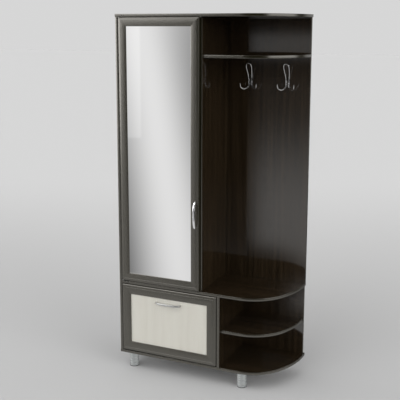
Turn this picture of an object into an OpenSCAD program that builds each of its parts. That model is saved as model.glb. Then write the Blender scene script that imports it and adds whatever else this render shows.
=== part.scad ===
// Hallway unit: a tall wardrobe bay with a mirror door, a tilt-out shoe bay below it,
// and an open coat bay on the right whose boards end in a curve.
// Millimetres. Cabinet coordinates run from the side panel's outer face, the front edges
// and the floor; place() moves them so that the origin is under the middle of the unit.

/* [Overall size] */
// Height from the floor to the top of the top board
unit_h = 2130; // [2000:10:2300]
// Width of the top and bottom boards
unit_w = 1048; // [1000:1:1150]
// Depth from the front edges to the back
unit_d = 400; // [380:5:460]
// Height of the legs
leg_h = 100; // [80:5:140]
// Height of the bench top above the floor
bench_h = 558; // [520:2:620]

/* [Boards] */
// Thickness of the laminated boards
board_t = 16; // [15:0.5:19]
// Thickness of the thin back sheets
sheet_t = 3; // [2.5:0.5:4]
// How far the top and bottom boards pass the side panel
overhang = 2; // [0:0.5:5]
// How far the open bay's back stops short of the top board's end
back_inset = 4; // [2:1:10]
// How much narrower the back of the niche is than the back above the bench
niche_back_inset = 5; // [2:1:10]
// Clear width of the wardrobe bay
wardrobe_bay_w = 503; // [450:1:540]
// Clear width of the shoe bay
shoe_bay_w = 618; // [580:1:660]
// Clear height over the hat shelf
hat_bay_h = 206; // [180:2:260]
// Clear height under the niche shelf
niche_low_h = 205; // [180:1:240]
// How far the hat shelf stands behind the front edges
hat_setback = 26; // [22:1:40]
// How far the niche shelf stands behind the front edges
niche_setback = 20; // [10:1:40]
// How far the niche shelf stops short of the niche's back panel end
niche_shelf_inset = 5; // [2:1:10]
// How far the wardrobe shelf stands behind the partition's front edge
inner_setback = 20; // [10:1:40]

/* [Curved end] */
// Length of the boards' curved end, from the end of the straight front
curve_w = 289; // [270:1:330]
// Radius of the curve's first arc; the flatter second arc follows from it
curve_r = 250; // [220:5:260]

/* [Door and flap] */
// Thickness of the moulded frames
frame_t = 20; // [18:0.5:22]
// How far the closed door and flap stand in front of the boards' edges
proud = 6; // [4:0.5:7]
// Width of the door's frame bars
door_bar_w = 50; // [44:1:60]
// Width of the flap's frame bars
flap_bar_w = 58; // [50:1:66]
// Gap round the door, and at the flap's sides and top
door_gap = 3; // [2.5:0.5:4]
// Gap under the flap, which its lower edge dips into as it tilts
flap_low_gap = 6; // [5.5:0.5:8]
// How far the door laps over the partition's front edge
door_lap = 4; // [2:1:8]
// Space between the closed door's back and the partition
door_rear_gap = 2; // [1.5:0.5:3]
// Radius of the frames' outer edge
edge_r = 3; // [2:0.5:4]
// Width of the flat outer band of the frames
band_w = 16; // [14:1:20]
// Width of the groove beside the band
groove_w = 4; // [3:0.5:5]
// Depth of the groove beside the band
groove_t = 1.2; // [0.8:0.1:1.8]
// How far the frames' inner part falls away
fall = 4; // [2:0.5:5]
// Thickness of the frames' inner lip
lip_t = 1.5; // [1:0.5:3]
// Width of the rebate that holds the mirror or the insert
rebate_w = 9; // [6:1:12]
// Gap round the mirror and the insert in their rebates
sheet_gap = 0.5; // [0.3:0.1:1]
// Thickness of the mirror
mirror_t = 4; // [3:0.5:5]
// Thickness of the flap's insert
insert_t = 8; // [4:0.5:9]

/* [Door pivots] */
// Distance of the pivot from the door's hinge edge
pivot_in = 5.5; // [5:0.5:7]
// Distance of the pivot behind the door's front face
pivot_back = 6; // [5.5:0.5:7]
// Diameter of the door pivot pins
door_pin_d = 5; // [4:0.5:5]
// Radial running clearance of the pins in their bushes
pin_clear = 0.05; // [0.03:0.01:0.08]
// Wall of the bushes
bush_wall = 2; // [1.5:0.5:2]
// Depth of the bushes
bush_h = 14; // [10:1:20]
// Thickness of the pivot plates
plate_t = 2; // [1.5:0.1:2.2]
// Length of the pivot plates
plate_l = 46; // [40:1:60]
// Width of the pivot plates
plate_w = 10; // [9:0.5:11]

/* [Shoe flap] */
// Height of the flap's pivot above its lower edge
flap_pivot_up = 76; // [72:1:90]
// Distance of the flap's pivot behind its back face
flap_pivot_back = 10; // [9.5:0.5:12]
// Diameter of the flap pivot pins
flap_pin_d = 8; // [6:0.5:10]
// Diameter of the pins' mounting flanges
flange_d = 26; // [22:1:32]
// Thickness of the pins' mounting flanges
flange_t = 2; // [1.5:0.5:3]
// Gap between a flange and the bracket that turns beside it
bracket_gap = 2; // [1:0.5:3]
// Thickness of the shoe rack's side brackets
bracket_t = 4; // [3:0.5:5]
// Width of the bracket's flange on the flap
bracket_foot_w = 26; // [20:1:32]
// Height of the brackets' lower ends above the flap's lower edge
foot_up = 12; // [8:1:16]
// Distance of the brackets' upper ends below the flap's upper edge
foot_down = 30; // [26:1:36]
// Height of the lowest bracket screws above the flap's lower edge
rack_screw_up = 30; // [26:1:40]
// Distance of the highest bracket screws below the flap's upper edge
rack_screw_down = 50; // [42:1:60]
// Distance of the bracket screws from the flanges' inner edges
rack_screw_side = 8; // [6:1:10]
// Margin of the brackets round the trays
rack_rim = 4; // [3:0.5:6]
// Depth of the notch between the trays, and how far the brackets stay below the upper tray's wall
rack_notch = 20; // [12:1:26]
// Length of the brackets' straight webs behind the flap
rack_web = 60; // [40:1:80]
// Thickness of the shoe trays
tray_t = 3; // [2:0.5:4]
// Depth of the shoe trays behind the flap
tray_d = 130; // [110:5:150]
// Height of the trays' back walls
tray_wall_h = 120; // [90:5:130]
// Height of the lower tray above the flap's lower edge
tray_up = 22; // [20:1:26]
// Rise of the trays' floors towards the back
tray_rise = 8; // [4:1:12]
// How far the trays' back walls lean back
tray_lean = 30; // [20:1:34]
// Height of the upper tray above the flap's middle, clear of the middle bracket screws
upper_tray_up = 4; // [4:0.5:12]

/* [Handles] */
// Length of the handles
handle_l = 163; // [140:1:180]
// How far the handles stand out
handle_out = 30; // [24:1:34]
// Width of the bow at its middle
handle_w = 13; // [10:1:16]
// Width of the bow at its ends
handle_end_w = 8; // [7:1:12]
// Thickness of the bow
handle_t = 5; // [4:0.5:7]
// Distance of the door handle's line from the door's free edge
door_handle_in = 19; // [16:1:24]
// Height of the door handle's middle above the floor
door_handle_z = 1010; // [900:10:1150]
// Distance of the flap handle's line below the insert's top edge
flap_handle_down = 28; // [18:1:40]

/* [Coat hooks] */
// Distance of the hooks' brackets below the hat shelf
hook_drop = 154; // [135:1:220]
// Distance of the left hook from the partition's face
hook_from_side = 147; // [120:1:180]
// Distance between the two hooks
hook_pitch = 227; // [180:1:280]
// Diameter of the hooks' wire
wire_d = 5; // [4:0.5:6]
// Distance between the tips of the two prongs
hook_w = 100; // [80:2:120]
// How far the prongs stand out
prong_out = 43; // [36:1:50]
// How far the upper loop stands out
loop_out = 43; // [36:1:60]
// Height of the upper loop above the bracket's middle
loop_h = 114; // [90:2:130]
// Gap between a hook's two wires at its bracket
wire_gap = 13; // [11:0.5:15]
// Width of the hooks' brackets
hook_plate_w = 28; // [26:1:34]
// Height of the hooks' brackets
hook_plate_h = 32; // [28:1:40]
// Thickness of the hooks' brackets
hook_plate_t = 4; // [3:0.5:5]

/* [Legs] */
// Diameter of the legs
leg_d = 60; // [50:1:70]
// Distance of the legs' middles from the front and the back
leg_in_y = 60; // [50:1:90]
// Distance of the left legs' middles from the side panel's face
leg_in_x = 60; // [50:1:90]
// Distance of the right legs' middles from the side panel's face
leg_far_x = 770; // [700:5:790]
// Thickness of the legs' mounting plates
leg_plate_t = 3; // [2:0.5:4]
// Diameter of the legs' mounting plates
leg_plate_d = 84; // [80:1:90]
// Diameter of the foot pads' stems
pad_stem_d = 10; // [8:1:12]
// Length of the foot pads' stems
pad_stem_l = 28; // [20:1:34]
// Height of the legs' foot pads
pad_h = 3; // [2:0.5:8]

/* [Wardrobe fittings] */
// Diameter of the hanging rail
rail_d = 25; // [20:1:30]
// Wall of the hanging rail
rail_wall = 1.5; // [1:0.5:2]
// Distance of the rail's axis below the shelf
rail_drop = 45; // [35:1:60]
// Distance of the rail's ends from the shelf's front and back
rail_end = 30; // [20:1:50]
// Thickness of the rail's brackets
rail_bracket_t = 3; // [2:0.5:4]
// Width of the rail's brackets
rail_bracket_w = 30; // [26:1:40]
// Depth of the brackets' feet under the shelf
rail_foot_d = 24; // [22:1:34]
// Margin of the brackets round the rail's end
rail_margin = 5; // [3:0.5:8]
// Distance between the two screws of a rail bracket
rail_screw_s = 16; // [12:1:20]
// Diameter of the shelf pins
shelf_pin_d = 5; // [4:0.5:6]
// Length of the shelf pins outside the panel
shelf_pin_l = 10; // [8:1:14]
// Distance of the front shelf pins behind the shelf's front
shelf_pin_front = 40; // [30:1:60]
// Distance of the rear shelf pins from the back
shelf_pin_back = 50; // [40:1:70]
// Height of the door's catch above the bench
catch_up = 900; // [700:10:1100]
// Length of the catches' magnets
catch_l = 46; // [36:1:56]
// Width of the catches' magnets
catch_w = 14; // [12:1:18]
// Depth of the catches' magnets
catch_d = 24; // [16:1:30]
// Gap between a magnet and its closed strike plate
catch_gap = 0.2; // [0.1:0.1:0.5]
// Thickness of the catches' strike plates
strike_t = 1.5; // [1:0.5:2]

/* [Fasteners] */
// Diameter of the cabinet screws' shanks
screw_d = 7; // [6:0.5:7]
// Diameter of the cabinet screws' heads
screw_head_d = 10; // [9:0.5:10]
// Height of the cabinet screws' heads
screw_head_h = 3; // [2:0.5:4]
// Length of the cabinet screws
screw_l = 50; // [40:1:60]
// Distance of the cabinet screws from the front and the back
screw_in = 55; // [45:1:80]
// Distance of the open back's screws from the partition's far face
screw_from_side = 180; // [120:5:220]
// Distance of the open back's screws from its free end
screw_from_end = 130; // [90:5:170]
// Distance of the niche back's screws from its ends
niche_screw_in = 100; // [80:5:130]
// Distance of the dowels from the partition's front and back
dowel_in = 75; // [70:1:110]
// Distance of the niche back's dowels from its ends
niche_dowel_in = 60; // [40:5:75]
// Distance of the nails from the ends of a back sheet
nail_end = 120; // [60:10:160]
// Distance of the partition's screws behind the open backs' front faces
side_screw_in = 7; // [6:0.5:7]
// Diameter of the dowels
dowel_d = 8; // [6:1:8]
// Length of the dowels
dowel_l = 26; // [20:1:30]
// Thickness of the cover caps
cap_t = 1; // [0.5:0.5:1.5]
// Diameter of the cover caps
cap_d = 14; // [12:1:18]
// Diameter of the small screws
small_d = 4; // [3:0.5:4]
// Diameter of the small screws' heads
small_head_d = 7; // [6:0.5:8]
// Height of the small screws' heads
small_head_t = 2; // [1.5:0.5:3]
// Length of the small screws in wood
small_l = 12; // [10:1:13]
// Clearance of screws and pins in their holes
hole_clear = 0.1; // [0.05:0.05:0.3]

/* [Hidden] */
$fn = 48;

wenge = [0.13, 0.10, 0.08];
frame_brown = [0.31, 0.30, 0.28];
cream = [0.78, 0.77, 0.73];
chrome = [0.80, 0.80, 0.82];
alu = [0.68, 0.68, 0.68];
black = [0.08, 0.08, 0.08];
zinc = [0.62, 0.62, 0.60];
fibre = [0.36, 0.27, 0.20];
beech = [0.75, 0.60, 0.42];
silver = [0.85, 0.87, 0.88];

// Main levels and lines
low_top = leg_h + board_t;
bench_low = bench_h - board_t;
top_low = unit_h - board_t;
right_x = unit_w - overhang;
back_x = right_x - back_inset;
straight_w = right_x - curve_w;
niche_x = back_x - niche_back_inset;
panel_d = unit_d - sheet_t;
back_y = unit_d - board_t;
part_up_x = board_t + wardrobe_bay_w;
part_low_x = board_t + shoe_bay_w;
front_y = -proud;
rear_y = front_y + frame_t;
part_up_y = rear_y + door_rear_gap;
hat_top = top_low - hat_bay_h;
niche_shelf_z = low_top + niche_low_h;
shelf_y = part_up_y + inner_setback;

// Door and flap outlines
door_x = board_t + door_gap;
door_w = part_up_x + door_lap - door_x;
door_z = bench_h + door_gap;
door_h = top_low - door_gap - door_z;
flap_x = board_t + door_gap;
flap_w = shoe_bay_w - 2 * door_gap;
flap_z = low_top + flap_low_gap;
flap_h = bench_low - door_gap - flap_z;
seat_in = fall + lip_t;
seat_y = front_y + seat_in;
pivot_x = door_x + pivot_in;
flap_pivot_y = rear_y + flap_pivot_back;
flap_pivot_z = flap_z + flap_pivot_up;
bush_d = door_pin_d + 2 * (pin_clear + bush_wall);

// Place of the unit under the origin
mid_x = (right_x - overhang) / 2;
mid_y = (unit_d - proud - handle_out) / 2;
module place() { translate([-mid_x, -mid_y, 0]) children(); }

// Points of the curved front: a tight arc from the straight front, then a flatter arc
// that runs into the end at a right angle to the back
function far_r(a, b, r) = (a * a + b * b - 2 * b * r) / (2 * (a - r));
function curve_pts(x0, y0, x1, y1, r, step = 3) =
    let (a = x1 - x0, b = y1 - y0, q = far_r(a, b, r), turn = atan2(b - r, x0 - x1 + q))
    concat([for (t = [-90:step:-turn]) [x0 + r * cos(t), y0 + r + r * sin(t)]],
           [for (t = [-turn:step:-step / 2]) [x1 - q + q * cos(t), y1 + q * sin(t)]],
           [[x1, y1]]);

// A board whose right-hand end is curved
module curved_board(x_left, y_front, x_right, y_back) {
    linear_extrude(board_t)
        polygon(concat([[x_left, y_front]],
                       curve_pts(straight_w, y_front, x_right, back_y, curve_r),
                       [[x_right, y_back], [x_left, y_back]]));
}

module board(x, y, z, w, d, h) { translate([x, y, z]) cube([w, d, h]); }

// Cabinet screws: place of the head's face and the direction that the shank points in
screw_y = [screw_in, unit_d - screw_in];
bay_screw_x = [part_up_x + screw_from_side, back_x - screw_from_end];
niche_screw_x = [part_low_x + niche_screw_in, niche_x - niche_screw_in];
edge_y = back_y + board_t / 2;
cabinet_screw_spots = concat(
    [for (y = screw_y) [[board_t / 2, y, unit_h], [0, 0, -1]]],
    [for (y = screw_y) [[part_up_x + board_t / 2, y, unit_h], [0, 0, -1]]],
    [for (x = bay_screw_x) [[x, edge_y, unit_h], [0, 0, -1]]],
    [for (y = screw_y) [[board_t / 2, y, leg_h], [0, 0, 1]]],
    [for (y = screw_y) [[part_low_x + board_t / 2, y, leg_h], [0, 0, 1]]],
    [for (x = niche_screw_x) [[x, edge_y, leg_h], [0, 0, 1]]],
    [for (y = screw_y) [[0, y, bench_low + board_t / 2], [1, 0, 0]]],
    [for (y = screw_y) [[part_up_x + board_t / 2, y, bench_low], [0, 0, 1]]],
    [for (x = bay_screw_x) [[x, edge_y, bench_low], [0, 0, 1]]],
    [for (y = screw_y) [[part_up_x, y, hat_top - board_t / 2], [1, 0, 0]]],
    [for (x = bay_screw_x) [[x, unit_d, hat_top - board_t / 2], [0, -1, 0]]],
    [for (y = screw_y) [[part_low_x, y, niche_shelf_z + board_t / 2], [1, 0, 0]]],
    [for (x = niche_screw_x) [[x, unit_d, niche_shelf_z + board_t / 2], [0, -1, 0]]],
    [for (k = [1:3]) [[part_up_x, back_y + side_screw_in, bench_h + k * (hat_top - bench_h) / 4],
                      [1, 0, 0]]],
    [for (k = [1:3:4]) [[part_low_x, back_y + side_screw_in, low_top + k * (bench_low - low_top) / 5],
                      [1, 0, 0]]]);

// Turns a shape made along -Z so that it points in one of the main directions
module aim(spot) {
    translate(spot[0])
        rotate(spot[1][0] != 0 ? [0, -90 * spot[1][0], 0]
             : spot[1][1] != 0 ? [90 * spot[1][1], 0, 0]
             : spot[1][2] > 0 ? [180, 0, 0] : [0, 0, 0])
            children();
}

module screw_shape(d, head_d, head_h, l, grow = 0) {
    translate([0, 0, -head_h]) cylinder(d = head_d + 2 * grow, h = head_h + grow);
    translate([0, 0, -l - grow]) cylinder(d = d + 2 * grow, h = l + grow);
}

module cabinet_screw_cuts() {
    for (s = cabinet_screw_spots)
        aim(s) screw_shape(screw_d, screw_head_d, screw_head_h, screw_l, hole_clear);
}

// Dowels between the bench and the parts under it, where no screw may show
dowel_spots = concat(
    [for (y = [dowel_in, unit_d - dowel_in]) [part_low_x + board_t / 2, y, bench_low]],
    [for (x = [part_low_x + board_t + niche_dowel_in, niche_x - niche_dowel_in]) [x, edge_y, bench_low]]);
module dowel_shape(grow = 0) {
    for (s = dowel_spots)
        translate([s[0], s[1], s[2] - dowel_l / 2 - grow])
            cylinder(d = dowel_d + 2 * grow, h = dowel_l + 2 * grow);
}
module board_cuts() {
    cabinet_screw_cuts();
    dowel_shape(hole_clear);
}

// Boards and panels
module side_panel() {
    color(wenge) place() difference() {
        board(0, 0, low_top, board_t, panel_d, top_low - low_top);
        board_cuts();
        shelf_pin_holes();
    }
}
module partition_upper() {
    color(wenge) place() difference() {
        board(part_up_x, part_up_y, bench_h, board_t, panel_d - part_up_y, top_low - bench_h);
        board_cuts();
        shelf_pin_holes();
    }
}
module partition_lower() {
    color(wenge) place() difference() {
        board(part_low_x, 0, low_top, board_t, panel_d, bench_low - low_top);
        board_cuts();
    }
}
module top_board() {
    color(wenge) place() difference() {
        translate([0, 0, top_low]) curved_board(-overhang, 0, right_x, unit_d);
        board_cuts();
        pivot_screw_cuts();
    }
}
module bottom_board() {
    color(wenge) place() difference() {
        translate([0, 0, leg_h]) curved_board(-overhang, 0, right_x, unit_d);
        board_cuts();
        leg_screw_shapes(hole_clear);
    }
}
module bench_board() {
    color(wenge) place() difference() {
        translate([0, 0, bench_low]) curved_board(board_t, 0, back_x, unit_d);
        board_cuts();
        pivot_screw_cuts();
    }
}
module hat_shelf() {
    color(wenge) place() difference() {
        translate([0, 0, hat_top - board_t])
            curved_board(part_up_x + board_t, hat_setback, back_x, back_y);
        board_cuts();
    }
}
module niche_shelf() {
    color(wenge) place() difference() {
        translate([0, 0, niche_shelf_z])
            curved_board(part_low_x + board_t, niche_setback, niche_x - niche_shelf_inset, back_y);
        board_cuts();
    }
}
module wardrobe_shelf() {
    color(wenge) place() difference() {
        board(board_t + 1, shelf_y, hat_top - board_t, wardrobe_bay_w - 2, panel_d - shelf_y, board_t);
        rail_screw_shapes(hole_clear);
    }
}
module bay_back() {
    color(wenge) place() difference() {
        board(part_up_x + board_t, back_y, bench_h, back_x - part_up_x - board_t, board_t,
              top_low - bench_h);
        board_cuts();
        hook_screw_shapes(hole_clear);
    }
}
module niche_back() {
    color(wenge) place() difference() {
        board(part_low_x + board_t, back_y, low_top, niche_x - part_low_x - board_t, board_t,
              bench_low - low_top);
        board_cuts();
    }
}
module wardrobe_back() {
    color(fibre) place() difference() {
        board(0, panel_d, bench_h, part_up_x + board_t, sheet_t, top_low - bench_h);
        nail_shapes(hole_clear);
    }
}
module shoe_bay_back() {
    color(fibre) place() difference() {
        board(0, panel_d, low_top, part_low_x + board_t, sheet_t, bench_low - low_top);
        nail_shapes(hole_clear);
    }
}

// Fasteners of the cabinet
module cabinet_screws() {
    color(zinc) place() for (s = cabinet_screw_spots)
        aim(s) difference() {
            screw_shape(screw_d, screw_head_d, screw_head_h, screw_l);
            translate([0, 0, -screw_head_h]) cylinder(d = 4.6, h = screw_head_h + 1, $fn = 6);
        }
}
module dowels() { color(beech) place() dowel_shape(); }
module screw_caps() {
    color(wenge) place() for (y = screw_y)
        translate([-cap_t, y, bench_low + board_t / 2]) rotate([0, 90, 0]) cylinder(d = cap_d, h = cap_t);
}

// Nails that hold the two thin back sheets to the panels' back edges
nail_rows = concat(
    [for (x = [0, part_up_x], k = [0:5])
        [x + board_t / 2, bench_h + nail_end + k * (top_low - bench_h - 2 * nail_end) / 5]],
    [for (x = [0, part_low_x], k = [0:2])
        [x + board_t / 2, low_top + nail_end / 2 + k * (bench_low - low_top - nail_end) / 2]]);
module nail_shapes(grow = 0) {
    for (n = nail_rows)
        translate([n[0], unit_d + 0.01, n[1]]) rotate([90, 0, 0])
            cylinder(d = 2 + 2 * grow, h = sheet_t + 0.01);
}
module back_nails() {
    color(zinc) place() for (n = nail_rows)
        translate([n[0], unit_d, n[1]]) rotate([90, 0, 0]) cylinder(d = 2, h = sheet_t);
}

// Legs: a plate under the board, a tube, and a pad that stands on the floor
leg_spots = [for (x = [leg_in_x, leg_far_x], y = [leg_in_y, unit_d - leg_in_y]) [x, y]];
module legs() {
    color(alu) place() for (s = leg_spots) translate([s[0], s[1], 0]) difference() {
        translate([0, 0, pad_h]) cylinder(d = leg_d, h = leg_h - leg_plate_t - pad_h, $fn = 96);
        translate([0, 0, pad_h - 1]) cylinder(d = pad_stem_d + 2 * hole_clear, h = pad_stem_l + 2);
    }
}
module leg_plates() {
    color(zinc) place() for (s = leg_spots) translate([s[0], s[1], leg_h - leg_plate_t]) difference() {
        cylinder(d = leg_plate_d, h = leg_plate_t, $fn = 96);
        for (a = [45:90:315]) rotate(a) translate([(leg_d + leg_plate_d) / 4, 0, -1])
            cylinder(d = small_d + 2 * hole_clear, h = leg_plate_t + 2);
    }
}
module leg_pads() {
    color(black) place() for (s = leg_spots) translate([s[0], s[1], 0]) {
        cylinder(d = leg_d - 4, h = pad_h, $fn = 96);
        translate([0, 0, pad_h - 0.01]) cylinder(d = pad_stem_d, h = pad_stem_l);
    }
}
module leg_screw_shapes(grow = 0) {
    for (s = leg_spots, a = [45:90:315])
        translate([s[0], s[1], leg_h - leg_plate_t]) rotate(a)
            translate([(leg_d + leg_plate_d) / 4, 0, 0])
                cylinder(d = small_d + 2 * grow, h = leg_plate_t + small_l + grow);
}
module leg_screws() {
    color(zinc) place() {
        leg_screw_shapes();
        for (s = leg_spots, a = [45:90:315])
            translate([s[0], s[1], leg_h - leg_plate_t - small_head_t]) rotate(a)
                translate([(leg_d + leg_plate_d) / 4, 0, 0]) cylinder(d = small_head_d, h = small_head_t);
    }
}

// Shelf pins under the wardrobe shelf
shelf_pin_y = [shelf_y + shelf_pin_front, panel_d - shelf_pin_back];
shelf_pin_z = hat_top - board_t - shelf_pin_d / 2;
module shelf_pin_row(grow = 0) {
    for (y = shelf_pin_y, side = [0, 1])
        translate([side == 0 ? board_t : part_up_x, y, shelf_pin_z]) rotate([0, side == 0 ? 90 : -90, 0])
            translate([0, 0, -shelf_pin_l - grow])
                cylinder(d = shelf_pin_d + 2 * grow, h = 2 * (shelf_pin_l + grow));
}
module shelf_pin_holes() { shelf_pin_row(hole_clear); }
module shelf_pins() { color(zinc) place() shelf_pin_row(); }

// Hanging rail, front to back under the shelf, between two screwed brackets
rail_x = board_t + wardrobe_bay_w / 2;
rail_z = hat_top - board_t - rail_drop;
rail_y0 = shelf_y + rail_end;
rail_y1 = panel_d - rail_end;
module hanging_rail() {
    color(chrome) place() translate([rail_x, rail_y0 + rail_bracket_t, rail_z]) rotate([-90, 0, 0])
        difference() {
            cylinder(d = rail_d, h = rail_y1 - rail_y0 - 2 * rail_bracket_t, $fn = 72);
            translate([0, 0, -1]) cylinder(d = rail_d - 2 * rail_wall, h = rail_y1 - rail_y0, $fn = 72);
        }
}
module rail_bracket() {
    translate([-rail_bracket_w / 2, 0, 0]) cube([rail_bracket_w, rail_bracket_t, rail_drop]);
    rotate([-90, 0, 0]) cylinder(d = rail_d + 2 * rail_margin, h = rail_bracket_t, $fn = 72);
    translate([-rail_bracket_w / 2, 0, rail_drop - rail_bracket_t])
        cube([rail_bracket_w, rail_foot_d, rail_bracket_t]);
}
module rail_brackets() {
    color(zinc) place() difference() {
        union() {
            translate([rail_x, rail_y0, rail_z]) rail_bracket();
            translate([rail_x, rail_y1, rail_z]) mirror([0, 1, 0]) rail_bracket();
        }
        rail_screw_shapes(hole_clear);
    }
}
module rail_screw_spots() {
    in = (rail_bracket_t + rail_foot_d) / 2;
    for (y = [rail_y0 + in, rail_y1 - in], side = [-1, 1])
        translate([rail_x + side * rail_screw_s / 2, y, hat_top - board_t - rail_bracket_t]) children();
}
module rail_screw_shapes(grow = 0) {
    rail_screw_spots() cylinder(d = small_d + 2 * grow, h = small_l + grow);
}
module rail_screws() {
    color(zinc) place() {
        rail_screw_shapes();
        rail_screw_spots() translate([0, 0, -small_head_t]) cylinder(d = small_head_d, h = small_head_t);
    }
}

// Magnetic catches: magnets on the cabinet, strike plates on the door and the flap
door_catch_z = bench_h + catch_up;
flap_catch_x = board_t + shoe_bay_w / 2;
module door_catch() {
    color(black) place()
        board(part_up_x - catch_w, rear_y + strike_t + catch_gap, door_catch_z, catch_w, catch_d, catch_l);
}
module door_strike() {
    color(zinc) place()
        board(part_up_x - catch_w, rear_y, door_catch_z + 6, catch_w - 1, strike_t, catch_l - 12);
}
module flap_catch() {
    color(black) place()
        board(flap_catch_x - catch_l / 2, rear_y + strike_t + catch_gap, bench_low - catch_w, catch_l,
              catch_d, catch_w);
}
module flap_strike() {
    color(zinc) place()
        board(flap_catch_x - catch_l / 2 + 6, rear_y, bench_low - catch_w, catch_l - 12, strike_t,
              catch_w - door_gap - 2);
}

// Door pivots: a plate with a pin on the board, and a bush in the end of the hinge stile
module pivot_plate() {
    translate([-pivot_in, -plate_w / 2, -plate_t]) cube([plate_l, plate_w, plate_t]);
    cylinder(d = bush_d - 1, h = door_gap - plate_t);
    cylinder(d = door_pin_d, h = door_gap - plate_t + bush_h - 1);
}
module pivot_pair() {
    translate([pivot_x, front_y + pivot_back, bench_h + plate_t]) children();
    translate([pivot_x, front_y + pivot_back, top_low - plate_t]) mirror([0, 0, 1]) children();
}
module pivot_screw_shape(grow = 0) {
    for (x = [16, 32]) translate([x, 0, -plate_t - small_l - grow])
        cylinder(d = small_d - 0.5 + 2 * grow, h = small_l + plate_t + grow);
}
module pivot_screw_cuts() { pivot_pair() pivot_screw_shape(hole_clear); }
module door_pivot_plates() {
    color(zinc) place() difference() {
        pivot_pair() pivot_plate();
        pivot_screw_cuts();
    }
}
module pivot_screws() { color(zinc) place() pivot_pair() pivot_screw_shape(); }
module bush_cut(grow = 0) {
    pivot_pair() translate([0, 0, door_gap - plate_t]) {
        cylinder(d = bush_d + 2 * grow, h = bush_h + grow);
    }
}
module door_bushes() {
    color(zinc) place() difference() {
        bush_cut();
        pivot_pair() translate([0, 0, 0]) cylinder(d = door_pin_d + 2 * pin_clear, h = door_gap + bush_h);
    }
}

// Frame bars of the door and the flap: an outer round, a flat band, a groove, then a curved
// fall to the lip
function bar_profile(w, rear) = concat(
    [for (a = [0:15:90]) [edge_r - edge_r * cos(a), edge_r - edge_r * sin(a)]],
    [for (a = [0:45:180]) [band_w + groove_w * (1 - cos(a)) / 2, groove_t * sin(a)]],
    [for (k = [1:7]) let (t = k / 7, u0 = band_w + groove_w) [u0 + (w - u0) * t, fall * t * t]],
    [[w, seat_in], [w - rebate_w, seat_in], [w - rebate_w, rear], [0, rear]]);
module bar(l, w) {
    intersection() {
        rotate([90, 0, 90]) linear_extrude(l)
            polygon([for (p = bar_profile(w, frame_t)) [p[1], p[0]]]);
        translate([0, frame_t + 1, 0]) rotate([90, 0, 0]) linear_extrude(frame_t + 2)
            polygon([[0, 0], [l, 0], [l - w, w], [w, w]]);
    }
}
module bar_bottom(x, z, w, h, b) { translate([x, front_y, z]) bar(w, b); }
module bar_top(x, z, w, h, b) { translate([x, front_y, z + h]) mirror([0, 0, 1]) bar(w, b); }
module bar_left(x, z, w, h, b) { translate([x, front_y, z]) mirror([1, 0, -1]) bar(h, b); }
module bar_right(x, z, w, h, b) {
    translate([x + w, front_y, z]) mirror([1, 0, 0]) mirror([1, 0, -1]) bar(h, b);
}

// Door
door_handle_x = door_x + door_w - door_handle_in;
handle_screw_s = (handle_l - handle_t) / 2;
module door_stile_hinge() {
    color(frame_brown) place() difference() {
        bar_left(door_x, door_z, door_w, door_h, door_bar_w);
        bush_cut(hole_clear);
    }
}
module door_stile_handle() {
    color(frame_brown) place() difference() {
        bar_right(door_x, door_z, door_w, door_h, door_bar_w);
        door_handle_screw_shapes(hole_clear);
    }
}
module door_rail_top() {
    color(frame_brown) place() difference() {
        bar_top(door_x, door_z, door_w, door_h, door_bar_w);
        bush_cut(hole_clear);
    }
}
module door_rail_bottom() {
    color(frame_brown) place() difference() {
        bar_bottom(door_x, door_z, door_w, door_h, door_bar_w);
        bush_cut(hole_clear);
    }
}
module door_mirror() {
    in = door_bar_w - rebate_w + sheet_gap;
    color(silver) place()
        board(door_x + in, seat_y, door_z + in, door_w - 2 * in, mirror_t, door_h - 2 * in);
}
module door_backing() {
    in = door_bar_w - rebate_w + sheet_gap;
    color(fibre) place()
        board(door_x + in, seat_y + mirror_t, door_z + in, door_w - 2 * in, sheet_t, door_h - 2 * in);
}

// A bow handle along Z on the plane y = 0, standing out towards -Y
bow_steps = 20;
bow_power = 0.72;
// Its line is half of a squared-off ellipse, so the ends leave the wall at a right angle
function bow_path() = [for (k = [-bow_steps:bow_steps]) let (a = 90 * k / bow_steps)
    [0, -(handle_out - handle_t / 2) * pow(cos(a), bow_power),
     handle_screw_s * sign(a) * pow(abs(sin(a)), bow_power)]];
function bow_width(k) = let (t = abs(k / bow_steps)) handle_w + (handle_end_w - handle_w) * t * t;
// Rings of an oval section carried along a path; the ends are square to the wall
function tangent(p, i) = let (d = p[min(i + 1, len(p) - 1)] - p[max(i - 1, 0)]) d / norm(d);
function ring(c, u, v, ru, rv, n) =
    [for (k = [0:n - 1]) let (a = 360 * k / n) c + u * ru * cos(a) + v * rv * sin(a)];
module skin(rings) {
    n = len(rings[0]);
    m = len(rings);
    pts = [for (r = rings) each r];
    sides = [for (i = [0:m - 2], k = [0:n - 1]) let (a = i * n + k, b = i * n + (k + 1) % n)
        each [[a, b, a + n], [b, b + n, a + n]]];
    ends = [for (k = [1:n - 2]) each [[0, k + 1, k], [(m - 1) * n, (m - 1) * n + k, (m - 1) * n + k + 1]]];
    polyhedron(points = pts, faces = concat(sides, ends));
}
module bow_handle() {
    path = bow_path();
    last = len(path) - 1;
    skin([for (i = [0:last])
        let (t = i == 0 ? [0, -1, 0] : i == last ? [0, 1, 0] : tangent(path, i),
             u = [1, 0, 0], v0 = cross(t, u), v = v0 / norm(v0), w = cross(v, t))
        ring(path[i], w / norm(w), v, bow_width(i - bow_steps) / 2, handle_t / 2, 16)]);
}
module handle_screw_pair(depth, grow = 0) {
    for (s = [-1, 1]) translate([0, depth + grow, s * handle_screw_s]) rotate([90, 0, 0])
        cylinder(d = small_d + 2 * grow, h = depth + 2 * grow);
}
module handle_screw_heads(depth) {
    for (s = [-1, 1]) translate([0, depth + small_head_t, s * handle_screw_s]) rotate([90, 0, 0])
        cylinder(d = small_head_d, h = small_head_t);
}
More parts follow.
